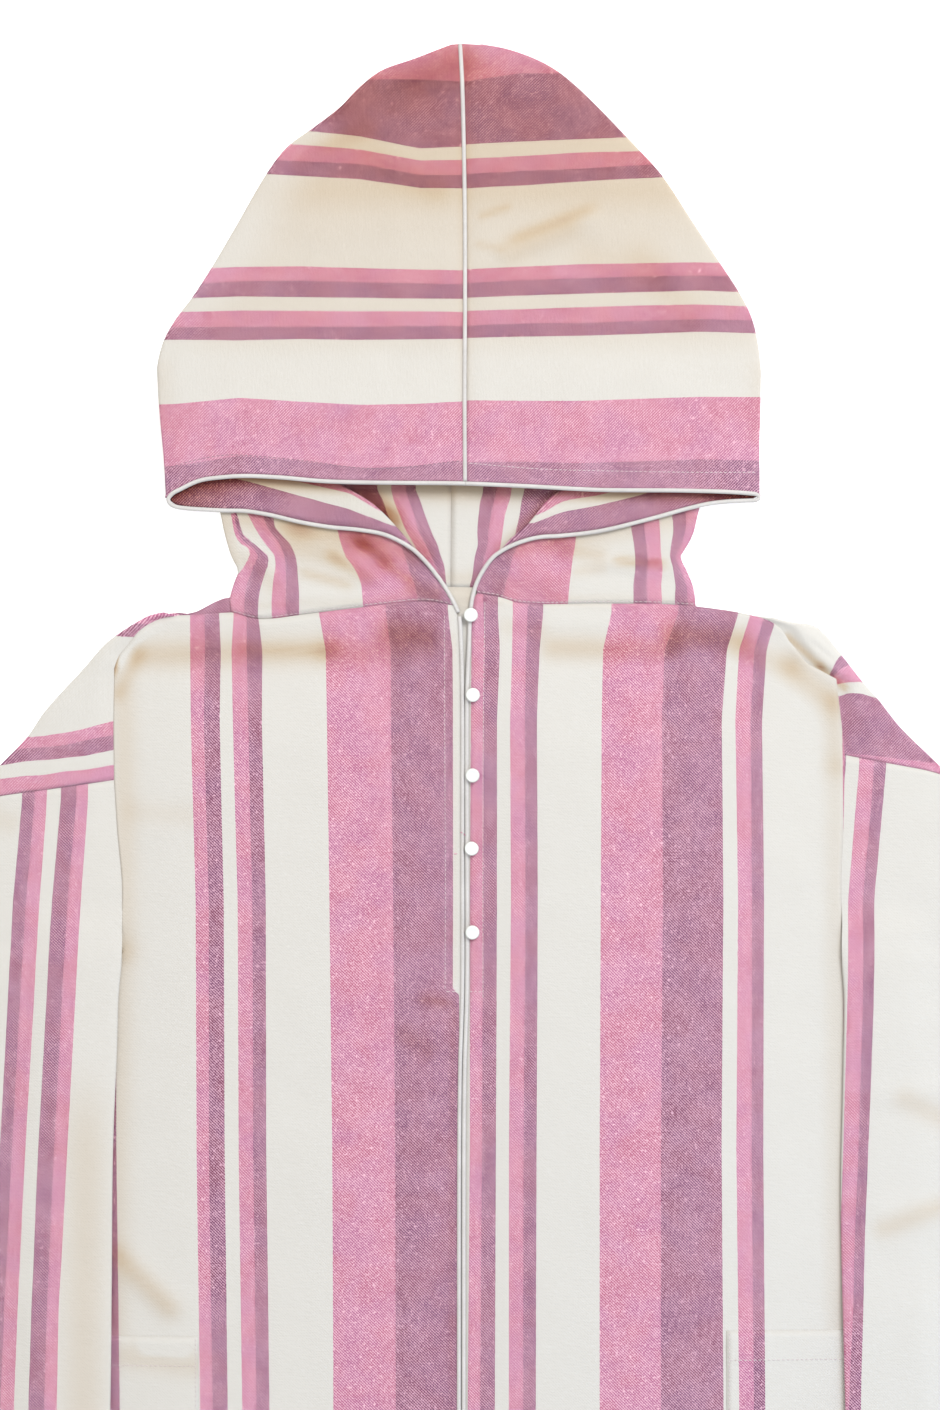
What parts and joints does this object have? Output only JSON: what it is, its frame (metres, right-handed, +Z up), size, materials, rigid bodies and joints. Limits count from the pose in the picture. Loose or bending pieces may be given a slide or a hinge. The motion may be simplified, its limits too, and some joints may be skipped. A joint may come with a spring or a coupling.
{
  "type": "hooded maxi tunic",
  "caption": "Long hooded tunic in striped brushed cotton, with a buttoned neck slit, long sleeves and patch pockets, laid flat.",
  "frame": {"origin": "on the surface it lies on, under the middle of the whole length and width", "axes": "+Z up off the surface, +Y from the hem to the top of the hood, +X to the right of someone looking down on the front"},
  "size_m": [0.7914, 1.682, 0.0086],
  "materials": {
    "striped_cotton": "soft brushed twill in cream, pink and mauve stripes",
    "piping": "off-white corded cotton",
    "buttons": "white, satin gloss"
  },
  "bodies": {
    "root": {"hood_left": "striped_cotton", "hood_right": "striped_cotton", "front_left": "striped_cotton", "front_right": "striped_cotton", "back": "striped_cotton", "upper_sleeve_left": "striped_cotton", "upper_sleeve_right": "striped_cotton", "lower_sleeve_left": "striped_cotton", "lower_sleeve_right": "striped_cotton", "pocket_left": "striped_cotton", "pocket_right": "striped_cotton", "hood_seam_piping": "piping", "face_piping_left": "piping", "face_piping_right": "piping", "front_piping_left": "piping", "front_piping_right": "piping", "button_1": "buttons", "button_2": "buttons", "button_3": "buttons", "button_4": "buttons", "button_5": "buttons"}
  },
  "joints": []
}
